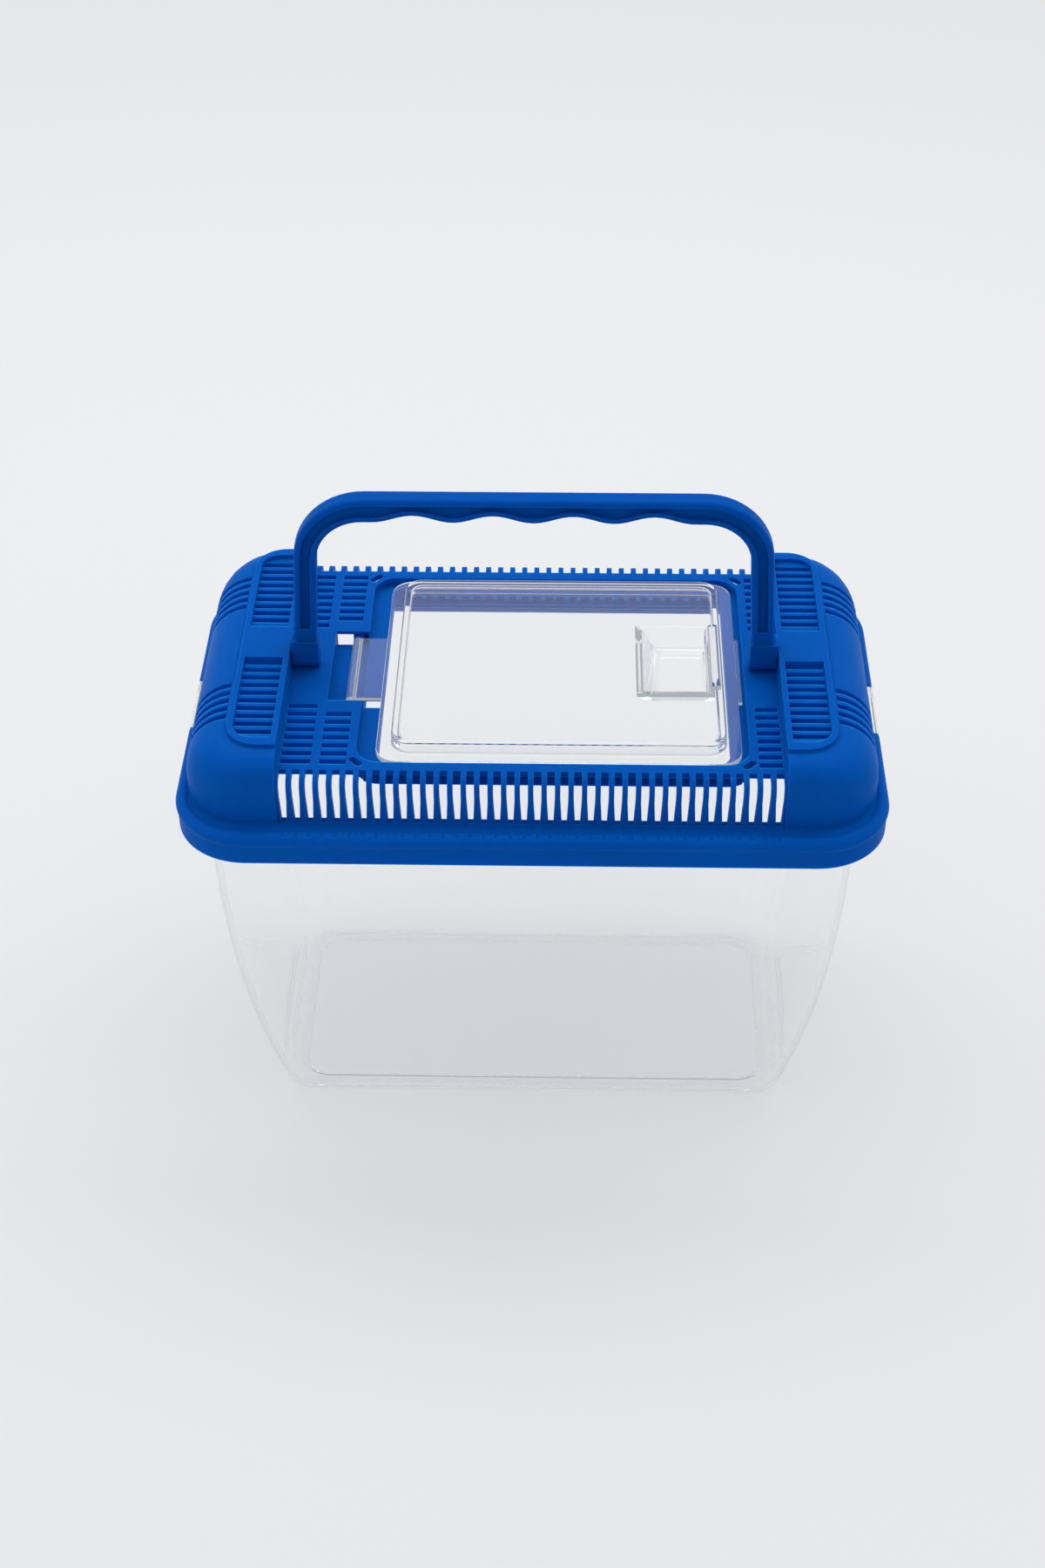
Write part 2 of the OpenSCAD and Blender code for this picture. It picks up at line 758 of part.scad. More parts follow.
// Outline of the handle in the XZ plane above the pivot axis, inset by d from every edge
module handle_outline(d) {
    wave = [for (x = [2 * scallop_l:-2:-2 * scallop_l]) [x, grip_z(x)]];
    difference() {
        polygon(concat(
            [[leg_out - d, 0]],
            arc([bend_x, handle_h - bend_r], bend_r - d, 0, 90, 12),
            arc([-bend_x, handle_h - bend_r], bend_r - d, 90, 180, 12),
            [[d - leg_out, 0]]
        ));
        polygon(concat(
            [[leg_in + d, -over]],
            arc([inner_bend_x, grip_under - inner_bend_r - d], inner_bend_r, 0, 90, 10),
            [for (p = wave) [p.x, p.y - d]],
            arc([-inner_bend_x, grip_under - inner_bend_r - d], inner_bend_r, 90, 180, 10),
            [[-leg_in - d, -over]]
        ));
    }
}

module handle() {
    color([0.02, 0.22, 0.58])
        translate([0, 0, pivot_z]) {
            difference() {
                rotate([90, 0, 0])
                    translate([0, 0, -handle_d / 2])
                        linear_extrude(handle_d)
                            handle_outline(0);
                both_sides()
                    intersection() {
                        rotate([90, 0, 0])
                            translate([0, 0, handle_d / 2 - web_sunk])
                                linear_extrude(handle_d)
                                    handle_outline(web_rim);
                        block([-more * 2, -handle_d, foot_top], [more * 2, handle_d, handle_h]);
                    }
            }
            both_ends() {
                block([foot_in, -handle_d / 2, 0], [foot_out, handle_d / 2, foot_h]);
                translate([foot_in, 0, 0])
                    rotate([0, 90, 0])
                        cylinder(r = handle_d / 2, h = foot_out - foot_in);
                translate([foot_out - over, 0, 0])
                    rotate([0, 90, 0])
                        cylinder(r = pivot_r, h = pivot_l + over);
            }
        }
}

tank();
lid();
hatch();
handle();
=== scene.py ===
import math

import bmesh
import bpy
from mathutils import Matrix, Vector


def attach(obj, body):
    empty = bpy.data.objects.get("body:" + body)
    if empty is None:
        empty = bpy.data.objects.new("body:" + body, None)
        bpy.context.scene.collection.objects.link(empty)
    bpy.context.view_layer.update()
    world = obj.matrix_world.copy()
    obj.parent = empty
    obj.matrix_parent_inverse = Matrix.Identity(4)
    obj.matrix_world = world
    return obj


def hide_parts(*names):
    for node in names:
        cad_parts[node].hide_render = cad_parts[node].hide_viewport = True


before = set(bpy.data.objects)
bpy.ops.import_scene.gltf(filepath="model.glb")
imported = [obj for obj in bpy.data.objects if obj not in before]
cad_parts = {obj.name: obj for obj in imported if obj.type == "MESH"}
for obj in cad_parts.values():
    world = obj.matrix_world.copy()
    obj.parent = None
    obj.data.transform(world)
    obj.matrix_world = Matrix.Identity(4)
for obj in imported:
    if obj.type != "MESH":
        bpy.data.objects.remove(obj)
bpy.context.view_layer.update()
scene = bpy.context.scene


# ---- Camera ----
# The keeper is seen from the front and well above, almost square on, from 0.65 m away.
# The lens gives the keeper's length two thirds of the upright frame's width.
CAM_PITCH = math.radians(39.463)
CAM_YAW = math.radians(-1.445)
CAM_ROLL = math.radians(-0.375)
CAM_AIM = Vector((-0.003178, 0.0, 0.085418))
CAM_DISTANCE = 0.651328
LENS_MM = 55.268
SENSOR_MM = 36.0
CLIP_NEAR = 0.01
CLIP_FAR = 20.0

ahead = Vector((math.sin(CAM_YAW) * math.cos(CAM_PITCH),
                math.cos(CAM_YAW) * math.cos(CAM_PITCH),
                -math.sin(CAM_PITCH)))
side = Vector((math.cos(CAM_YAW), -math.sin(CAM_YAW), 0.0))
up = side.cross(ahead)
right = side * math.cos(CAM_ROLL) + up * math.sin(CAM_ROLL)
up = right.cross(ahead)
cam_data = bpy.data.cameras.new("camera")
cam_data.lens = LENS_MM
cam_data.sensor_width = SENSOR_MM
cam_data.clip_start = CLIP_NEAR
cam_data.clip_end = CLIP_FAR
camera = bpy.data.objects.new("camera", cam_data)
turn = Matrix((right, up, -ahead)).transposed().to_4x4()
camera.matrix_world = Matrix.Translation(CAM_AIM - ahead * CAM_DISTANCE) @ turn
scene.collection.objects.link(camera)
scene.camera = camera


# ---- Studio ----
# A pale cool grey table, a world of the same grey and two soft lamps: a long one overhead, a little
# behind the keeper, and one at the left. The table keeps the keeper's soft shadow, and far from it
# fades into the backdrop's grey.
TABLE_HALF = 3.0
TABLE_COLOR = (0.71, 0.713, 0.72, 1.0)
TABLE_ROUGH = 0.75
TABLE_GLOW = (0.80, 0.80, 0.808, 1.0)
TABLE_GLOW_SHARE = 0.42
FADE_FROM = 0.45
FADE_TO = 1.25
BACKDROP_TINT = (0.98, 0.99, 1.0, 1.0)
BACKDROP_LEVEL = 0.805
WORLD_LIGHT = 0.80
LAMP_AIM = Vector((0.0, 0.0, 0.08))
LAMPS = (  # name, place, length and width in metres, watts
    ("lamp_over", Vector((0.05, 0.35, 0.95)), (1.6, 0.5), 6.1),
    ("lamp_left", Vector((-0.85, -0.25, 0.75)), (0.7, 0.7), 1.1),
)


def larger(nodes, links, one, other):
    """The larger of two masks."""
    pick = nodes.new("ShaderNodeMath")
    pick.operation = "MAXIMUM"
    links.new(one, pick.inputs[0])
    links.new(other, pick.inputs[1])
    return pick.outputs[0]


def looked_at(nodes, links):
    """Mask of what the camera sees, by itself, through clear plastic or in a gloss."""
    seen = nodes.new("ShaderNodeLightPath").outputs
    through = larger(nodes, links, seen["Is Camera Ray"], seen["Is Transmission Ray"])
    return larger(nodes, links, through, seen["Is Glossy Ray"])


scene.view_settings.view_transform = "Standard"
world = bpy.data.worlds.new("studio")
scene.world = world
world.use_nodes = True
nodes, links = world.node_tree.nodes, world.node_tree.links
nodes.clear()
level = nodes.new("ShaderNodeMapRange")
level.inputs["To Min"].default_value = WORLD_LIGHT
level.inputs["To Max"].default_value = BACKDROP_LEVEL
links.new(looked_at(nodes, links), level.inputs["Value"])
shell = nodes.new("ShaderNodeBackground")
shell.inputs["Color"].default_value = BACKDROP_TINT
links.new(level.outputs["Result"], shell.inputs["Strength"])
out = nodes.new("ShaderNodeOutputWorld")
links.new(shell.outputs[0], out.inputs["Surface"])

bm = bmesh.new()
bmesh.ops.create_grid(bm, x_segments=1, y_segments=1, size=TABLE_HALF)
mesh = bpy.data.meshes.new("table")
bm.to_mesh(mesh)
bm.free()
table = bpy.data.objects.new("table", mesh)
scene.collection.objects.link(table)
mat = bpy.data.materials.new("table top")
mat.use_nodes = True
nodes, links = mat.node_tree.nodes, mat.node_tree.links
skin = nodes["Principled BSDF"]
skin.inputs["Base Color"].default_value = TABLE_COLOR
skin.inputs["Roughness"].default_value = TABLE_ROUGH
skin.inputs["Specular IOR Level"].default_value = 0.0
where = nodes.new("ShaderNodeTexCoord")
away = nodes.new("ShaderNodeVectorMath")
away.operation = "LENGTH"
links.new(where.outputs["Object"], away.inputs[0])
fade = nodes.new("ShaderNodeMapRange")
fade.interpolation_type = "SMOOTHSTEP"
fade.inputs["From Min"].default_value = FADE_FROM
fade.inputs["From Max"].default_value = FADE_TO
fade.inputs["To Min"].default_value = TABLE_GLOW_SHARE
links.new(away.outputs["Value"], fade.inputs["Value"])
share = nodes.new("ShaderNodeMath")
share.operation = "MULTIPLY"
links.new(looked_at(nodes, links), share.inputs[0])
links.new(fade.outputs["Result"], share.inputs[1])
glow = nodes.new("ShaderNodeEmission")
glow.inputs["Color"].default_value = TABLE_GLOW
pale = nodes.new("ShaderNodeMixShader")
links.new(share.outputs[0], pale.inputs["Fac"])
links.new(skin.outputs[0], pale.inputs[1])
links.new(glow.outputs[0], pale.inputs[2])
links.new(pale.outputs[0], nodes["Material Output"].inputs["Surface"])
mesh.materials.append(mat)

for name, place, size, watts in LAMPS:
    lamp_data = bpy.data.lights.new(name, "AREA")
    lamp_data.shape = "RECTANGLE"
    lamp_data.size, lamp_data.size_y = size
    lamp_data.energy = watts
    lamp = bpy.data.objects.new(name, lamp_data)
    facing = (LAMP_AIM - place).to_track_quat("-Z", "Y").to_matrix().to_4x4()
    lamp.matrix_world = Matrix.Translation(place) @ facing
    scene.collection.objects.link(lamp)


# ---- Tank ----
# One clear polystyrene moulding. Its walls curve inwards to a foot ring round a raised floor panel,
# a flat rim stands out at the top, and a lug at each end of the rim shows in a notch of the lid.
TANK_HALF = (0.082, 0.050)
BASE_HALF = (0.0695, 0.033)
TANK_CORNER = 0.014
BASE_CORNER = 0.0075
FLOOR_CORNER = 0.008
LEAST_CORNER = 0.0005
CORNER_STEPS = 14
CURVE_H = 0.104
TANK_H = 0.110
WALL = 0.0016
WALL_ROWS = 26
ROW_SPREAD = 1.2
RIM_HALF = (0.0878, 0.0528)
RIM_CORNER = 0.0168
RIM_T = 0.002
FOOT_W = 0.0055
FOOT_ROUND = 0.0012
FOOT_STEPS = 6
GROOVE_ROUND = 0.0021
GROOVE_STEPS = 8
PANEL_RISE = 0.0016
LUG_HALF_W = 0.010
LUG_OUT = 0.0898
LUG_Z = (0.1042, 0.1118)
LUG_ROUND = 0.0003
# Small rounds, as points (distance from one face, distance from the other).
RING_SOFT = ((0.0, 0.0006), (0.0001, 0.0003), (0.0003, 0.0001), (0.0006, 0.0))
RIM_SOFT = ((0.0003, 0.0), (0.0001, 0.0001), (0.0, 0.0003))
RIM_ROOT = ((0.0, 0.001), (0.0003, 0.0003), (0.001, 0.0))
PANEL_SOFT = ((0.0004, 0.0), (0.0001, 0.0001), (0.0, 0.0004))
# Measures closer than these count as one. A normal past FLAT_ON lies along its axis, and an edge
# past SHARP degrees is one to ease.
CUT_DIST = 1e-7
TOUCHING = 1e-6
CLOSE = 1e-5
FLAT_ON = 0.99
SHARP = 50
TANK_TINT = (0.99, 0.993, 1.0, 1.0)
TANK_BEND = 1.38
TANK_RIPPLE = 0.07
TANK_RIPPLE_SCALE = 22.0
RIPPLE_DETAIL = 2.0
RIPPLE_STARTS = 0.45
RIPPLE_WHOLE = 0.8
RIPPLE_HEIGHT = 0.0002
POLISHED = 0.015
RIPPLED = 0.06
PLASTIC_BEND = 1.5
FACE_ON_TINT = (0.985, 0.988, 0.992, 1.0)
EDGE_ON_TINT = (0.87, 0.88, 0.89, 1.0)
# TRAPPED_GLOW_GREY is a painted glow: rays trapped in the clear plastic end in this grey emission instead
# of black.
TRAPPED_GLOW_GREY = (0.38, 0.41, 0.45, 1.0)
MOST_PASSAGES = 8.0
MOST_MIRRORINGS = 2.5


def wall_at(z, inset):
    """Half sizes and corner radius of the walls at height z, inset from the outer face."""
    s = max(0.0, 1 - z / CURVE_H)
    half = [t - inset - s * s * (t - b) for t, b in zip(TANK_HALF, BASE_HALF)]
    return half, TANK_CORNER - inset - (TANK_CORNER - BASE_CORNER) * s


def inset_rect(half, corner, d):
    """Half sizes and corner radius of a round rectangle made smaller by d all round."""
    return [half[0] - d, half[1] - d], max(corner - d, LEAST_CORNER)


def round_point(half, corner, k):
    """Point k of a rectangle with round corners, counted from its right side."""
    q, i = divmod(k, CORNER_STEPS + 1)
    a = math.pi / 2 * (q + i / CORNER_STEPS)
    sx, sy = ((1, 1), (-1, 1), (-1, -1), (1, -1))[q]
    return sx * (half[0] - corner) + corner * math.cos(a), sy * (half[1] - corner) + corner * math.sin(a)


def skinned(bm, rows):
    """Closed skin drawn out from ring to ring; rows are (half, corner, z)."""
    count = 4 * (CORNER_STEPS + 1)
    ring = bmesh.ops.create_circle(bm, cap_ends=False, segments=count, radius=1.0)["verts"]
    edges = list({e for v in ring for e in v.link_edges})
    bmesh.ops.contextual_create(bm, geom=edges)
    place = {v: k for k, v in enumerate(ring)}
    for step, (half, corner, z) in enumerate(rows):
        if step:
            out = bmesh.ops.extrude_edge_only(bm, edges=edges)["geom"]
            fresh = [g for g in out if isinstance(g, bmesh.types.BMVert)]
            below = {v: [e.other_vert(v) for e in v.link_edges] for v in fresh}
            place = {v: next(place[o] for o in below[v] if o in place) for v in fresh}
            edges = {e for v in fresh for e in v.link_edges}
            edges = [e for e in edges if all(v in place for v in e.verts)]
        for v, k in place.items():
            v.co = (*round_point(half, corner, k), z)
    bmesh.ops.contextual_create(bm, geom=edges)


def piece_from(bm, name, crease=35):
    """Makes an object of a bmesh: faces outwards, smooth, sharp past the crease angle in degrees."""
    bmesh.ops.remove_doubles(bm, verts=bm.verts, dist=TOUCHING)
    bmesh.ops.recalc_face_normals(bm, faces=bm.faces)
    for f in bm.faces:
        f.smooth = True
    for e in bm.edges:
        e.smooth = not (e.is_manifold and e.calc_face_angle(0.0) > math.radians(crease))
    mesh = bpy.data.meshes.new(name)
    bm.to_mesh(mesh)
    bm.free()
    obj = bpy.data.objects.new(name, mesh)
    scene.collection.objects.link(obj)
    flats = obj.modifiers.new("flat faces stay flat", "WEIGHTED_NORMAL")
    flats.keep_sharp = True
    return obj


def cut_faces(bm, faces, planes):
    """Cuts only these faces along planes given by (point, normal); returns the pieces."""
    marks = set(faces)
    for co, no in planes:
        around = {g for f in marks for g in (*f.edges, *f.verts)}
        cut = bmesh.ops.bisect_plane(bm, geom=[*marks, *around], dist=CUT_DIST, plane_co=co, plane_no=no)
        marks = {f for f in marks if f.is_valid}
        marks |= {g for g in cut["geom"] if isinstance(g, bmesh.types.BMFace)}
    return [f for f in marks if f.is_valid]


def pushed(bm, faces, move):
    """Extrudes faces and moves them; returns the moved faces."""
    out = bmesh.ops.extrude_face_region(bm, geom=faces)
    new = [g for g in out["geom"] if isinstance(g, bmesh.types.BMFace)]
    bmesh.ops.delete(bm, geom=[f for f in faces if f.is_valid], context="FACES")
    bmesh.ops.translate(bm, vec=move, verts=list({v for f in new for v in f.verts}))
    bm.normal_update()
    return new


def rounded(bm, edges, width, segments):
    """Rounds these edges."""
    bmesh.ops.bevel(bm, geom=list(edges), affect="EDGES", offset=width, segments=segments,
                    profile=0.5, material=-1, clamp_overlap=True)


def eased(bm, edges, width, segments=3):
    """Rounds the sharp ones of these edges."""
    sharp = [e for e in edges if e.is_valid and e.calc_face_angle(0.0) > math.radians(SHARP)]
    rounded(bm, sharp, width, segments)
    bm.normal_update()


ring_half = [BASE_HALF[0] - FOOT_W, BASE_HALF[1] - FOOT_W]
ring_corner = FLOOR_CORNER - WALL
rim_under = TANK_H - RIM_T
panel_top = WALL + PANEL_RISE
# The rings run from the panel's underside down and round the foot, up the outer wall, over the rim,
# down the inner wall and through the groove up to the panel's top.
rows = [(*inset_rect(ring_half, ring_corner, 0.0), PANEL_RISE)]
rows += [(*inset_rect(ring_half, ring_corner, -a), b) for a, b in RING_SOFT]
for i in range(FOOT_STEPS + 1):
    a = math.pi / 2 * i / FOOT_STEPS
    z = FOOT_ROUND * (1 - math.cos(a))
    rows.append((*wall_at(z, FOOT_ROUND * (1 - math.sin(a))), z))
for i in range(1, WALL_ROWS + 1):
    z = FOOT_ROUND + (CURVE_H - FOOT_ROUND) * (i / WALL_ROWS) ** ROW_SPREAD
    rows.append((*wall_at(z, 0), z))
rows += [(*wall_at(rim_under - b, -a), rim_under - b) for a, b in RIM_ROOT]
rows += [(*inset_rect(RIM_HALF, RIM_CORNER, a), rim_under + b) for a, b in RIM_SOFT]
rows += [(*inset_rect(RIM_HALF, RIM_CORNER, a), TANK_H - b) for a, b in reversed(RIM_SOFT)]
rows += [(*wall_at(TANK_H - b, WALL - a), TANK_H - b) for a, b in RIM_SOFT]
for i in range(WALL_ROWS, 0, -1):
    z = WALL + GROOVE_ROUND + (CURVE_H - WALL - GROOVE_ROUND) * (i / WALL_ROWS) ** ROW_SPREAD
    rows.append((*wall_at(z, WALL), z))
for i in range(GROOVE_STEPS + 1):
    a = math.pi / 2 * i / GROOVE_STEPS
    z = WALL + GROOVE_ROUND * (1 - math.sin(a))
    rows.append((*inset_rect(*wall_at(z, WALL), GROOVE_ROUND * (1 - math.cos(a))), z))
panel_half = [v + WALL for v in ring_half]
rows += [(*inset_rect(panel_half, FLOOR_CORNER, -a), WALL + b) for a, b in PANEL_SOFT]
rows += [(*inset_rect(panel_half, FLOOR_CORNER, a), panel_top - b) for a, b in reversed(PANEL_SOFT)]
bm = bmesh.new()
skinned(bm, rows)
bmesh.ops.recalc_face_normals(bm, faces=bm.faces)
bm.normal_update()
for s in (-1, 1):
    ends = [f for f in bm.faces
            if f.normal.x * s > FLAT_ON and s * f.calc_center_median().x > RIM_HALF[0] - CLOSE]
    parts = cut_faces(bm, ends, [((0, y, 0), (0, 1, 0)) for y in (LUG_HALF_W, -LUG_HALF_W)])
    lug = [f for f in parts if abs(f.calc_center_median().y) < LUG_HALF_W]
    pushed(bm, lug, (s * (LUG_OUT - RIM_HALF[0]), 0, 0))
    for up_down, z in ((-1, LUG_Z[0]), (1, LUG_Z[1])):
        ledge = [f for f in bm.faces
                 if f.normal.z * up_down > FLAT_ON and s * f.calc_center_median().x > RIM_HALF[0] + CLOSE]
        pushed(bm, ledge, (0, 0, z - ledge[0].calc_center_median().z))
    eased(bm, {e for e in bm.edges if all(s * v.co.x > RIM_HALF[0] + CLOSE for v in e.verts)}, LUG_ROUND)
tank = piece_from(bm, "tank_shell")
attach(tank, "tank")
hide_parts("tank")


def flow_marks():
    """Node group of faint flow ripples in moulded plastic: a roughness and a height."""
    group = bpy.data.node_groups.new("flow marks", "ShaderNodeTree")
    face = group.interface
    face.new_socket("Vector", in_out="INPUT", socket_type="NodeSocketVector")
    for name in ("Scale", "Smooth", "Dull"):
        face.new_socket(name, in_out="INPUT", socket_type="NodeSocketFloat")
    for name in ("Roughness", "Height"):
        face.new_socket(name, in_out="OUTPUT", socket_type="NodeSocketFloat")
    nodes, links = group.nodes, group.links
    inner, outer = nodes.new("NodeGroupInput"), nodes.new("NodeGroupOutput")
    flow = nodes.new("ShaderNodeTexNoise")
    flow.inputs["Detail"].default_value = RIPPLE_DETAIL
    links.new(inner.outputs["Vector"], flow.inputs["Vector"])
    links.new(inner.outputs["Scale"], flow.inputs["Scale"])
    dull = nodes.new("ShaderNodeMapRange")
    dull.inputs["From Min"].default_value = RIPPLE_STARTS
    dull.inputs["From Max"].default_value = RIPPLE_WHOLE
    links.new(flow.outputs["Fac"], dull.inputs["Value"])
    links.new(inner.outputs["Smooth"], dull.inputs["To Min"])
    links.new(inner.outputs["Dull"], dull.inputs["To Max"])
    links.new(dull.outputs["Result"], outer.inputs["Roughness"])
    links.new(flow.outputs["Fac"], outer.inputs["Height"])
    return group


FLOW_MARKS = flow_marks()


def past(nodes, links, count, limit):
    """Mask of a count that has gone past its limit."""
    over = nodes.new("ShaderNodeMath")
    over.operation = "GREATER_THAN"
    over.inputs[1].default_value = limit
    links.new(count, over.inputs[0])
    return over.outputs[0]


def mixed(nodes, links, mask, first, second):
    """The first shader, or the second where the mask is one."""
    blend = nodes.new("ShaderNodeMixShader")
    links.new(mask, blend.inputs["Fac"])
    links.new(first, blend.inputs[1])
    links.new(second, blend.inputs[2])
    return blend.outputs[0]


def clear_plastic(name, tint, bend, ripple, ripple_scale):
    """Clear moulded plastic with faint flow marks. Light falls through it on what lies behind, less
    where it is met at a low angle; rays trapped inside end in a painted grey glow. bend is its refraction."""
    mat = bpy.data.materials.new(name)
    mat.use_nodes = True
    nodes, links = mat.node_tree.nodes, mat.node_tree.links
    skin = nodes["Principled BSDF"]
    skin.inputs["Base Color"].default_value = tint
    skin.inputs["Transmission Weight"].default_value = 1.0
    skin.inputs["IOR"].default_value = bend
    where = nodes.new("ShaderNodeTexCoord")
    marks = nodes.new("ShaderNodeGroup")
    marks.node_tree = FLOW_MARKS
    marks.inputs["Scale"].default_value = ripple_scale
    marks.inputs["Smooth"].default_value = POLISHED
    marks.inputs["Dull"].default_value = RIPPLED
    links.new(where.outputs["Object"], marks.inputs["Vector"])
    links.new(marks.outputs["Roughness"], skin.inputs["Roughness"])
    bump = nodes.new("ShaderNodeBump")
    bump.inputs["Strength"].default_value = ripple
    bump.inputs["Distance"].default_value = RIPPLE_HEIGHT
    links.new(marks.outputs["Height"], bump.inputs["Height"])
    links.new(bump.outputs["Normal"], skin.inputs["Normal"])
    path = nodes.new("ShaderNodeLightPath").outputs
    trapped = larger(nodes, links, past(nodes, links, path["Transmission Depth"], MOST_PASSAGES),
                     past(nodes, links, path["Glossy Depth"], MOST_MIRRORINGS))
    # Painted glow: past these depths the plastic emits a flat grey in place of the light it would carry.
    painted_glow = nodes.new("ShaderNodeEmission")
    painted_glow.inputs["Color"].default_value = TRAPPED_GLOW_GREY
    lit = mixed(nodes, links, trapped, skin.outputs[0], painted_glow.outputs[0])
    turned_away = nodes.new("ShaderNodeFresnel")
    turned_away.inputs["IOR"].default_value = PLASTIC_BEND
    let_through = nodes.new("ShaderNodeMix")
    let_through.data_type = "RGBA"
    let_through.inputs["A"].default_value = FACE_ON_TINT
    let_through.inputs["B"].default_value = EDGE_ON_TINT
    links.new(turned_away.outputs[0], let_through.inputs["Factor"])
    thin = nodes.new("ShaderNodeBsdfTransparent")
    links.new(let_through.outputs["Result"], thin.inputs["Color"])
    of_light = larger(nodes, links, path["Is Shadow Ray"], path["Is Diffuse Ray"])
    whole = mixed(nodes, links, of_light, lit, thin.outputs[0])
    links.new(whole, nodes["Material Output"].inputs["Surface"])
    return mat


tank_plastic = clear_plastic("clear tank plastic", TANK_TINT, TANK_BEND, TANK_RIPPLE,
                             TANK_RIPPLE_SCALE)
tank.data.materials.append(tank_plastic)


# ---- Lid ----
# One blue polypropylene moulding: skirt, ledge, two end pods with slotted windows, a slotted deck
# and a grille of thin bars along the front and the rear. Its shape is the CAD lid's, made smooth.
LID_BLUE = (0.0004, 0.077, 0.363, 1.0)
# EDGE_HIGHLIGHT_BLUE is a painted highlight: a paler blue laid on the rounded edges, where they would catch
# the light.
EDGE_HIGHLIGHT_BLUE = (0.004, 0.13, 0.50, 1.0)
LID_ROUGH = 0.40
LID_EDGE = 0.0004
LID_CREASE = 30
CLOUD_SCALE = 45.0
CLOUD_DETAIL = 3.0
CLOUD_SPREAD = 0.07
ROUGH_SPREAD = 0.05
GRAIN_SCALE = 1400.0
GRAIN_DETAIL = 2.0
GRAIN_STRENGTH = 0.12
GRAIN_HEIGHT = 0.0001
EDGE_SAMPLES = 6
HIGHLIGHT_STARTS = 0.99
HIGHLIGHT_WHOLE = 0.75
GLOSS = 0.015
BLUE_BEND = 1.45
BLEED = 0.6
BLEED_REACH = (0.05, 0.35, 1.0)
BLEED_SCALE = 0.005


def mould_skin():
    """Node group of a spark-eroded mould's skin: clouded colour with a painted highlight, a paler colour,
    on the rounded edges, roughness and a fine grain height."""
    group = bpy.data.node_groups.new("mould skin", "ShaderNodeTree")
    face = group.interface
    for name in ("Vector", "Soft Normal"):
        face.new_socket(name, in_out="INPUT", socket_type="NodeSocketVector")
    for name in ("Dark Color", "Light Color", "Edge Highlight Color"):
        face.new_socket(name, in_out="INPUT", socket_type="NodeSocketColor")
    for name in ("Smooth", "Dull"):
        face.new_socket(name, in_out="INPUT", socket_type="NodeSocketFloat")
    face.new_socket("Color", in_out="OUTPUT", socket_type="NodeSocketColor")
    for name in ("Roughness", "Height"):
        face.new_socket(name, in_out="OUTPUT", socket_type="NodeSocketFloat")
    nodes, links = group.nodes, group.links
    inner, outer = nodes.new("NodeGroupInput"), nodes.new("NodeGroupOutput")
    cloud = nodes.new("ShaderNodeTexNoise")
    cloud.inputs["Scale"].default_value = CLOUD_SCALE
    cloud.inputs["Detail"].default_value = CLOUD_DETAIL
    grain = nodes.new("ShaderNodeTexNoise")
    grain.inputs["Scale"].default_value = GRAIN_SCALE
    grain.inputs["Detail"].default_value = GRAIN_DETAIL
    for noise in (cloud, grain):
        links.new(inner.outputs["Vector"], noise.inputs["Vector"])
    tone = nodes.new("ShaderNodeMix")
    tone.data_type = "RGBA"
    links.new(cloud.outputs["Fac"], tone.inputs["Factor"])
    links.new(inner.outputs["Dark Color"], tone.inputs["A"])
    links.new(inner.outputs["Light Color"], tone.inputs["B"])
    dull = nodes.new("ShaderNodeMapRange")
    links.new(cloud.outputs["Fac"], dull.inputs["Value"])
    links.new(inner.outputs["Smooth"], dull.inputs["To Min"])
    links.new(inner.outputs["Dull"], dull.inputs["To Max"])
    flat = nodes.new("ShaderNodeNewGeometry")
    agree = nodes.new("ShaderNodeVectorMath")
    agree.operation = "DOT_PRODUCT"
    links.new(inner.outputs["Soft Normal"], agree.inputs[0])
    links.new(flat.outputs["Normal"], agree.inputs[1])
    # Painted highlight: where the rounded-edge normal turns away from the face's own normal, the colour
    # goes over to the paler edge colour.
    edge_highlight_mask = nodes.new("ShaderNodeMapRange")
    edge_highlight_mask.inputs["From Min"].default_value = HIGHLIGHT_STARTS
    edge_highlight_mask.inputs["From Max"].default_value = HIGHLIGHT_WHOLE
    links.new(agree.outputs["Value"], edge_highlight_mask.inputs["Value"])
    painted_highlight = nodes.new("ShaderNodeMix")
    painted_highlight.data_type = "RGBA"
    links.new(edge_highlight_mask.outputs["Result"], painted_highlight.inputs["Factor"])
    links.new(tone.outputs["Result"], painted_highlight.inputs["A"])
    links.new(inner.outputs["Edge Highlight Color"], painted_highlight.inputs["B"])
    links.new(painted_highlight.outputs["Result"], outer.inputs["Color"])
    links.new(dull.outputs["Result"], outer.inputs["Roughness"])
    links.new(grain.outputs["Fac"], outer.inputs["Height"])
    return group


MOULD_SKIN = mould_skin()


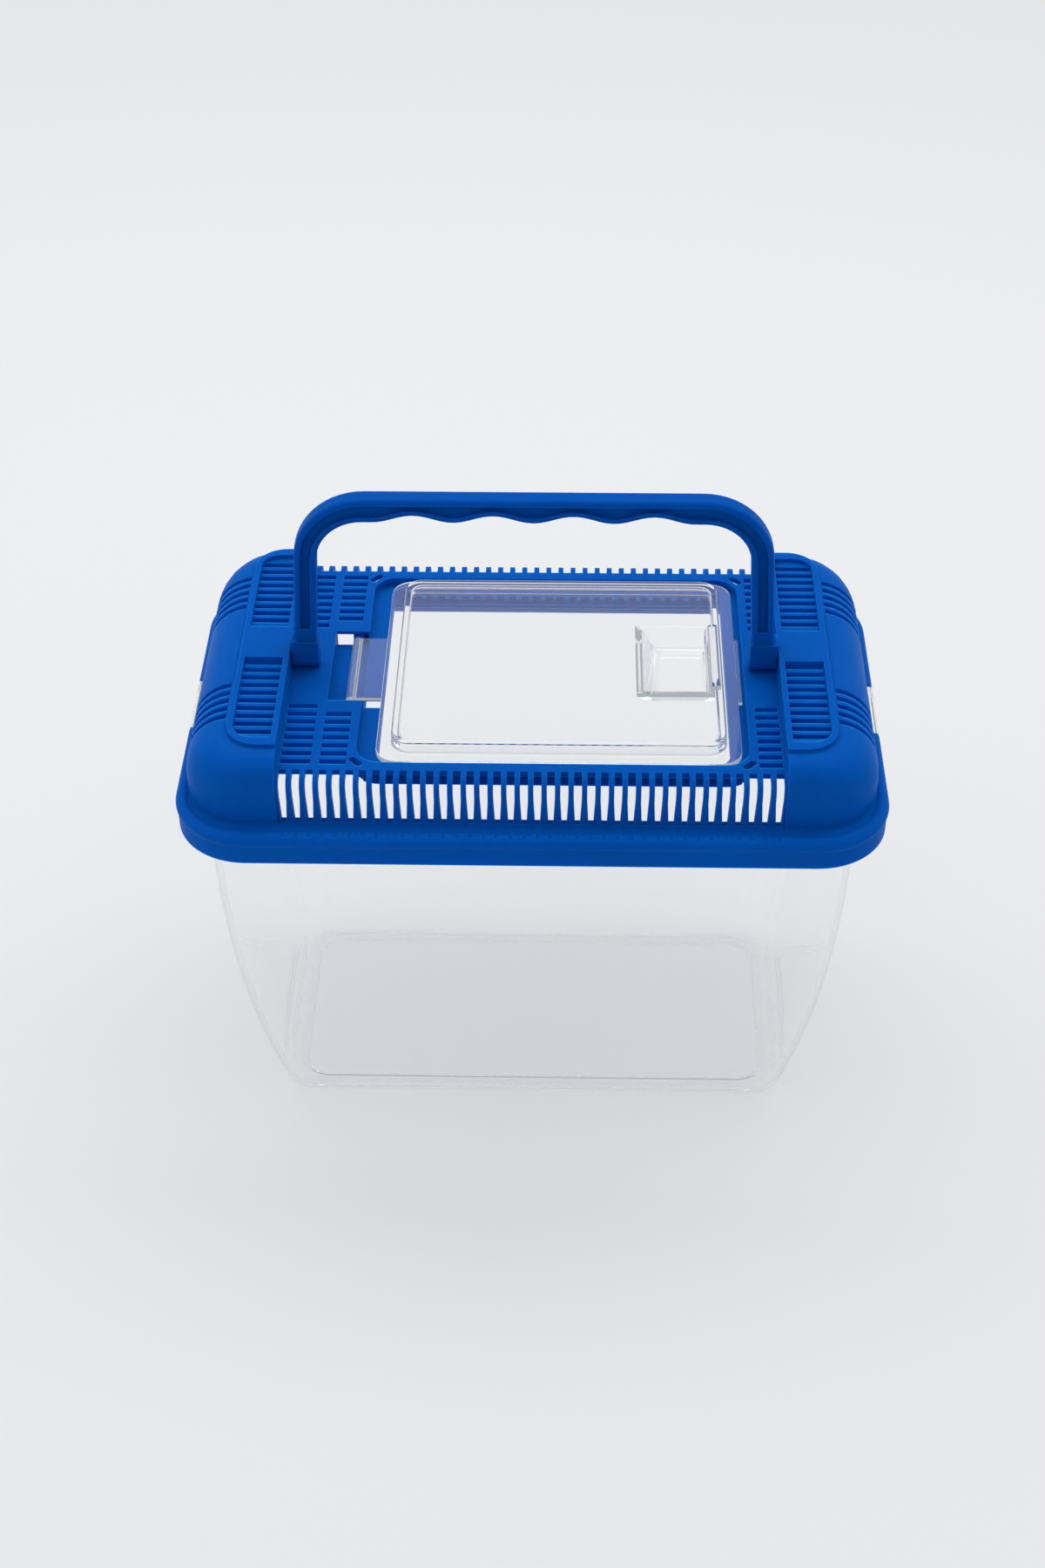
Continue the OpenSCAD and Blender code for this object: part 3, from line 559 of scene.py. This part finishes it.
def moulded_plastic(name, color, rough, edge):
    """Satin moulded plastic whose edges look rounded by edge and carry a painted highlight, with light
    bleeding through thin bars.
    """
    mat = bpy.data.materials.new(name)
    mat.use_nodes = True
    nodes, links = mat.node_tree.nodes, mat.node_tree.links
    skin = nodes["Principled BSDF"]
    skin.inputs["IOR"].default_value = BLUE_BEND
    skin.inputs["Specular IOR Level"].default_value = GLOSS
    skin.inputs["Subsurface Weight"].default_value = BLEED
    skin.inputs["Subsurface Radius"].default_value = BLEED_REACH
    skin.inputs["Subsurface Scale"].default_value = BLEED_SCALE
    where = nodes.new("ShaderNodeTexCoord")
    marks = nodes.new("ShaderNodeGroup")
    marks.node_tree = MOULD_SKIN
    for socket, tone in (("Dark Color", 1 - CLOUD_SPREAD), ("Light Color", 1 + CLOUD_SPREAD)):
        marks.inputs[socket].default_value = (*(c * tone for c in color[:3]), 1.0)
    # The painted highlight colour for the rounded edges.
    marks.inputs["Edge Highlight Color"].default_value = EDGE_HIGHLIGHT_BLUE
    marks.inputs["Smooth"].default_value = rough - ROUGH_SPREAD
    marks.inputs["Dull"].default_value = rough + ROUGH_SPREAD
    links.new(where.outputs["Object"], marks.inputs["Vector"])
    links.new(marks.outputs["Color"], skin.inputs["Base Color"])
    links.new(marks.outputs["Roughness"], skin.inputs["Roughness"])
    soft = nodes.new("ShaderNodeBevel")
    soft.samples = EDGE_SAMPLES
    soft.inputs["Radius"].default_value = edge
    bump = nodes.new("ShaderNodeBump")
    bump.inputs["Strength"].default_value = GRAIN_STRENGTH
    bump.inputs["Distance"].default_value = GRAIN_HEIGHT
    links.new(marks.outputs["Height"], bump.inputs["Height"])
    links.new(soft.outputs["Normal"], marks.inputs["Soft Normal"])
    links.new(soft.outputs["Normal"], bump.inputs["Normal"])
    links.new(bump.outputs["Normal"], skin.inputs["Normal"])
    return mat


bm = bmesh.new()
bm.from_mesh(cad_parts["lid"].data)
lid = piece_from(bm, "lid_cover", LID_CREASE)
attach(lid, "lid")
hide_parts("lid")
lid.data.materials.append(moulded_plastic("blue lid plastic", LID_BLUE, LID_ROUGH, LID_EDGE))


# ---- Hatch ----
# One clear polystyrene moulding: a flange, a raised top with a finger dish and a pull ridge, a
# catch tab, and a hinge leaf whose bar turns in the lid.
HATCH_MID_X = 0.00675
HATCH_HALF = (0.04575, 0.0392)
FLANGE_CORNER = 0.0055
FLANGE_LOW = 0.123
FLANGE_HIGH = 0.1245
FLANGE_SOFT = 0.0003
HATCH_TOP = 0.128
HATCH_WALL = 0.0015
TOP_INSET = 0.0038
TOP_CORNER = 0.0045
TOP_SOFT = 0.0008
TOP_ROOT = 0.0004
HOLLOW_CORNER = TOP_CORNER - 0.001
HOLLOW_SOFT = 0.0006
HOLLOW_LIP = 0.0002
DISH_X = (0.0279, 0.0449)
DISH_HALF_W = 0.014
DISH_DEPTH = 0.0046
DISH_SLOPE = 0.004
DISH_SOFT = 0.0014
DISH_SOFT_STEPS = 5
DISH_RIM_SOFT = 0.0005
DISH_RIM_STEPS = 4
RIDGE_X = 0.0468
RIDGE_R = 0.0019
RIDGE_LOW = 0.0005
RIDGE_SHORT = 0.0007
RIDGE_LEAST = 0.0007
RIDGE_STEP = 15
RIDGE_MARGIN = 0.0001
RIDGE_RISE = 0.0002
RIDGE_FROM = DISH_X[1] - 0.001
CATCH_HALF_W = 0.0135
CATCH_OUT = 0.001
LEAF_HALF_W = 0.013
LEAF_SHORT = 0.0001
LEAF_INTO_BAR = 0.0004
HINGE = (-0.0468, 0.1232)  # the bar's x and z
BAR_R = 0.0013
PIN_R = 0.001
PIN_END = 0.0164
ROD_SOFT = 0.15
ROD_SIDES = 40
HATCH_TINT = (0.985, 0.995, 1.0, 1.0)
HATCH_BEND = 1.52
HATCH_RIPPLE = 0.15
HATCH_RIPPLE_SCALE = 30.0


def fillet(path, d0, z0, d1, z1, flat_first, steps=4):
    """Adds a quarter round from (d0, z0) to (d1, z1) to a path."""
    for i in range(steps + 1):
        a = math.pi / 2 * i / steps
        k, m = (math.sin(a), 1 - math.cos(a)) if flat_first else (1 - math.cos(a), math.sin(a))
        path.append((d0 + (d1 - d0) * k, z0 + (z1 - z0) * m))


def within(f, xa, xb, half_w):
    """Whether a face's middle lies between xa and xb, and less than half_w from the middle line."""
    c = f.calc_center_median()
    return xa < c.x < xb and abs(c.y) < half_w


def dished(bm, face, grow, z):
    """Pushes the dish, grown by grow, out of a flat face to height z, with slopes on three sides
    and a soft edge round its floor."""
    xa, xb, half_w = DISH_X[0] - grow, DISH_X[1] + grow, DISH_HALF_W + grow
    parts = cut_faces(bm, [face], [((xa, 0, 0), (1, 0, 0)), ((xb, 0, 0), (1, 0, 0)),
                                   ((0, half_w, 0), (0, 1, 0)), ((0, -half_w, 0), (0, 1, 0))])
    mouth = [f for f in parts if within(f, xa, xb, half_w)]
    floor = pushed(bm, mouth, (0, 0, z - mouth[0].calc_center_median().z))
    for v in {v for f in floor for v in f.verts}:
        v.co.x += DISH_SLOPE if v.co.x < xa + TOUCHING else 0.0
        v.co.y -= math.copysign(DISH_SLOPE, v.co.y)
    rounded(bm, {e for f in floor for e in f.edges}, DISH_SOFT, DISH_SOFT_STEPS)


roof = HATCH_TOP - HATCH_WALL
hollow = TOP_INSET + HATCH_WALL
# The path runs from the hollow's roof down to the flange, round it and up to the raised top.
path = []
fillet(path, hollow + HOLLOW_SOFT, roof, hollow, roof - HOLLOW_SOFT, True)
fillet(path, hollow, FLANGE_LOW + HOLLOW_LIP, hollow - HOLLOW_LIP, FLANGE_LOW, False, 3)
under_rows = len(path)
fillet(path, FLANGE_SOFT, FLANGE_LOW, 0, FLANGE_LOW + FLANGE_SOFT, True, 3)
fillet(path, 0, FLANGE_HIGH - FLANGE_SOFT, FLANGE_SOFT, FLANGE_HIGH, False, 3)
flange_rows = len(path)
fillet(path, TOP_INSET - TOP_ROOT, FLANGE_HIGH, TOP_INSET, FLANGE_HIGH + TOP_ROOT, True)
fillet(path, TOP_INSET, HATCH_TOP - TOP_SOFT, TOP_INSET + TOP_SOFT, HATCH_TOP, False, 6)
rows = []
for i, (d, z) in enumerate(path):
    if i < under_rows:
        corner = HOLLOW_CORNER + max(0.0, hollow - d)
    elif i < flange_rows:
        corner = FLANGE_CORNER - d
    else:
        corner = TOP_CORNER - (d - TOP_INSET)
    rows.append(([HATCH_HALF[0] - d, HATCH_HALF[1] - d], corner, z))
bm = bmesh.new()
skinned(bm, rows)
bmesh.ops.translate(bm, vec=(HATCH_MID_X, 0, 0), verts=bm.verts)
bmesh.ops.recalc_face_normals(bm, faces=bm.faces)
top_face = max(bm.faces, key=lambda f: (f.calc_center_median().z, f.calc_area()))
at_roof = [f for f in bm.faces if abs(f.calc_center_median().z - roof) < TOUCHING]
roof_face = max(at_roof, key=lambda f: f.calc_area())
dished(bm, top_face, 0.0, HATCH_TOP - DISH_DEPTH)
around_dish = [e for e in bm.edges if max(v.co.z for v in e.verts) > HATCH_TOP - TOUCHING]
dish_rim = {e for e in around_dish
            if all(DISH_X[0] - TOUCHING < v.co.x < DISH_X[1] + TOUCHING
                   and abs(v.co.y) < DISH_HALF_W + TOUCHING for v in e.verts)}
rounded(bm, dish_rim, DISH_RIM_SOFT, DISH_RIM_STEPS)
dished(bm, roof_face, HATCH_WALL, HATCH_TOP - DISH_DEPTH - HATCH_WALL)
flats = [f for f in bm.faces
         if abs(f.calc_center_median().z - HATCH_TOP) < TOUCHING and abs(f.normal.z) > FLAT_ON
         and f.calc_center_median().x > RIDGE_FROM]
ridge_half_w = DISH_HALF_W - RIDGE_SHORT
cuts = [((RIDGE_X + RIDGE_R * math.cos(math.radians(a)), 0, 0), (1, 0, 0))
        for a in range(2 * RIDGE_STEP, 180 - RIDGE_STEP, RIDGE_STEP)]
cuts += [((0, s * ridge_half_w, 0), (0, 1, 0)) for s in (-1, 1)]
parts = cut_faces(bm, flats, cuts)
xa = RIDGE_X - RIDGE_R * math.cos(math.radians(RIDGE_STEP)) - RIDGE_MARGIN
xb = HATCH_MID_X + HATCH_HALF[0] - TOP_INSET - TOP_SOFT + TOUCHING
crest = pushed(bm, [f for f in parts if within(f, xa, xb, ridge_half_w)], (0, 0, RIDGE_RISE))
for v in {v for f in crest for v in f.verts}:
    height = math.sqrt(max(RIDGE_LEAST ** 2, RIDGE_R ** 2 - (v.co.x - RIDGE_X) ** 2))
    v.co.z = HATCH_TOP - RIDGE_LOW + height
catch_x, leaf_x = HATCH_MID_X + HATCH_HALF[0], HATCH_MID_X - HATCH_HALF[0]
for x, half_w, reach in ((catch_x, CATCH_HALF_W, CATCH_OUT),
                         (leaf_x, LEAF_HALF_W - LEAF_SHORT, HINGE[0] + LEAF_INTO_BAR - leaf_x)):
    edge_faces = [f for f in bm.faces
                  if abs(f.calc_center_median().x - x) < CLOSE and abs(f.normal.x) > FLAT_ON]
    parts = cut_faces(bm, edge_faces, [((0, y, 0), (0, 1, 0)) for y in (half_w, -half_w)])
    pushed(bm, [f for f in parts if abs(f.calc_center_median().y) < half_w], (reach, 0, 0))


def rod(bm, r, length, axis, centre):
    """Adds a round rod with eased ends, turned down from upright about the axis."""
    made = bmesh.ops.create_cone(bm, cap_ends=True, segments=ROD_SIDES, radius1=r, radius2=r, depth=length)
    verts = made["verts"]
    bmesh.ops.rotate(bm, verts=verts, cent=(0, 0, 0), matrix=Matrix.Rotation(math.pi / 2, 3, axis))
    bmesh.ops.translate(bm, verts=verts, vec=centre)
    eased(bm, {e for v in verts for e in v.link_edges}, r * ROD_SOFT)


for r, half_l in ((BAR_R, LEAF_HALF_W), (PIN_R, PIN_END)):
    rod(bm, r, 2 * half_l, "X", (HINGE[0], 0, HINGE[1]))
hatch = piece_from(bm, "hatch_door")
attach(hatch, "hatch")
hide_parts("hatch")
hatch_plastic = clear_plastic("clear hatch plastic", HATCH_TINT, HATCH_BEND, HATCH_RIPPLE,
                              HATCH_RIPPLE_SCALE)
hatch.data.materials.append(hatch_plastic)


# ---- Handle ----
# One blue polypropylene moulding: two legs and a grip with finger scallops, with a sunk web in the
# front and rear faces. Its wide feet turn on pivot pins in the pods' inner walls.
PIVOT_Z = 0.128
PIVOT_R = 0.0015
PIVOT_END = 0.0646
PIVOT_ROOT = 0.001
FOOT_OUT = 0.0626
FOOT_WIDER = 0.0006
FOOT_H = 0.006
FOOT_SOFT = 0.0005
LEG_FROM = 0.0055
LEG_W = 0.0058
LEG_LEAN = 0.0016
HANDLE_H = 0.0492
HANDLE_D = 0.0054
BEND_R = 0.0185
INNER_BEND_R = 0.012
GRIP_T = 0.0067
SCALLOP_D = 0.002
SCALLOP_L = 0.020
WEB_RIM = 0.0016
WEB_SUNK = 0.0015
WEB_FOOT = 0.009
WEB_BRINK = 0.0002
EDGE_R = 0.0011
LEG_STEPS = 6
BEND_STEPS = 14
GRIP_STEPS = 48
# HANDLE_SHADED_BLUE is the lid's blue made a little darker: painted shade that keeps the handle's well-lit
# top from looking too bright.
HANDLE_SHADED_BLUE = (0.0003, 0.066, 0.325, 1.0)
HANDLE_ROUGH = 0.40
HANDLE_EDGE = 0.0003

leg_out = FOOT_OUT - FOOT_WIDER
leg_in = leg_out - LEG_W
grip_under = HANDLE_H - GRIP_T
outer_x = leg_out - LEG_LEAN - BEND_R
inner_x = leg_in - LEG_LEAN - INNER_BEND_R
outer_top = HANDLE_H - BEND_R
inner_top = grip_under - INNER_BEND_R
# The bow's outer and inner line, from the right foot up, over the grip and down to the left foot.
outer, inner = [], []
for i in range(LEG_STEPS):
    for line, x, top in ((outer, leg_out, outer_top), (inner, leg_in, inner_top)):
        z = LEG_FROM + (top - LEG_FROM) * i / LEG_STEPS
        line.append((x - LEG_LEAN * z / top, z))
for i in range(BEND_STEPS):
    a = math.pi / 2 * i / BEND_STEPS
    for line, x, top, r in ((outer, outer_x, outer_top, BEND_R), (inner, inner_x, inner_top, INNER_BEND_R)):
        line.append((x + r * math.cos(a), top + r * math.sin(a)))
for i in range(GRIP_STEPS + 1):
    k = 1 - 2 * i / GRIP_STEPS
    x = inner_x * k
    wave = SCALLOP_D / 2 * (1 - math.cos(math.tau * x / SCALLOP_L)) if abs(x) < 2 * SCALLOP_L else 0.0
    outer.append((outer_x * k, HANDLE_H))
    inner.append((x, grip_under + wave))
half = LEG_STEPS + BEND_STEPS
outer += [(-x, z) for x, z in reversed(outer[:half])]
inner += [(-x, z) for x, z in reversed(inner[:half])]
bm = bmesh.new()
rail_out, rail_in = [[bm.verts.new((x, -HANDLE_D / 2, PIVOT_Z + z)) for x, z in line]
                     for line in (outer, inner)]
front = [bm.faces.new((a, b, d, c)) for a, b, c, d in zip(rail_out, rail_out[1:], rail_in, rail_in[1:])]
made = bmesh.ops.extrude_face_region(bm, geom=front)["geom"]
rear = [g for g in made if isinstance(g, bmesh.types.BMVert)]
bmesh.ops.translate(bm, vec=(0, HANDLE_D, 0), verts=rear)
bmesh.ops.recalc_face_normals(bm, faces=bm.faces)
eased(bm, list(bm.edges), EDGE_R, 4)
for s in (-1, 1):
    face_y = s * HANDLE_D / 2
    web = [f for f in bm.faces
           if f.normal.y * s > FLAT_ON and abs(f.calc_center_median().y - face_y) < TOUCHING
           and f.calc_center_median().z > PIVOT_Z + WEB_FOOT]
    bmesh.ops.inset_region(bm, faces=web, thickness=WEB_RIM - EDGE_R, use_even_offset=True,
                           use_boundary=True)
    bm.normal_update()
    pushed(bm, web, (0, -s * WEB_SUNK, 0))
    brink = {e for e in bm.edges if all(abs(v.co.y - face_y) < TOUCHING for v in e.verts)}
    eased(bm, brink, WEB_BRINK, 2)
foot_w = LEG_W + 2 * FOOT_WIDER
pin_l = PIVOT_END - FOOT_OUT + PIVOT_ROOT
for s in (-1, 1):
    made = bmesh.ops.create_cone(bm, cap_ends=True, segments=ROD_SIDES, radius1=HANDLE_D / 2,
                                 radius2=HANDLE_D / 2, depth=foot_w)
    foot = made["verts"]
    bmesh.ops.rotate(bm, verts=foot, cent=(0, 0, 0), matrix=Matrix.Rotation(math.pi / 2, 3, "Y"))
    for v in foot:
        v.co.z = FOOT_H if v.co.z > TOUCHING else v.co.z
    bmesh.ops.translate(bm, verts=foot, vec=(s * (FOOT_OUT - foot_w / 2), 0, PIVOT_Z))
    eased(bm, {e for v in foot for e in v.link_edges}, FOOT_SOFT)
    rod(bm, PIVOT_R, pin_l, "Y", (s * (PIVOT_END + FOOT_OUT - PIVOT_ROOT) / 2, 0, PIVOT_Z))
handle = piece_from(bm, "handle_bow")
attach(handle, "handle")
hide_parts("handle")
# The same blue plastic as the lid, with its colour darkened as painted shade.
handle_plastic = moulded_plastic("shaded blue handle plastic", HANDLE_SHADED_BLUE, HANDLE_ROUGH, HANDLE_EDGE)
handle.data.materials.append(handle_plastic)
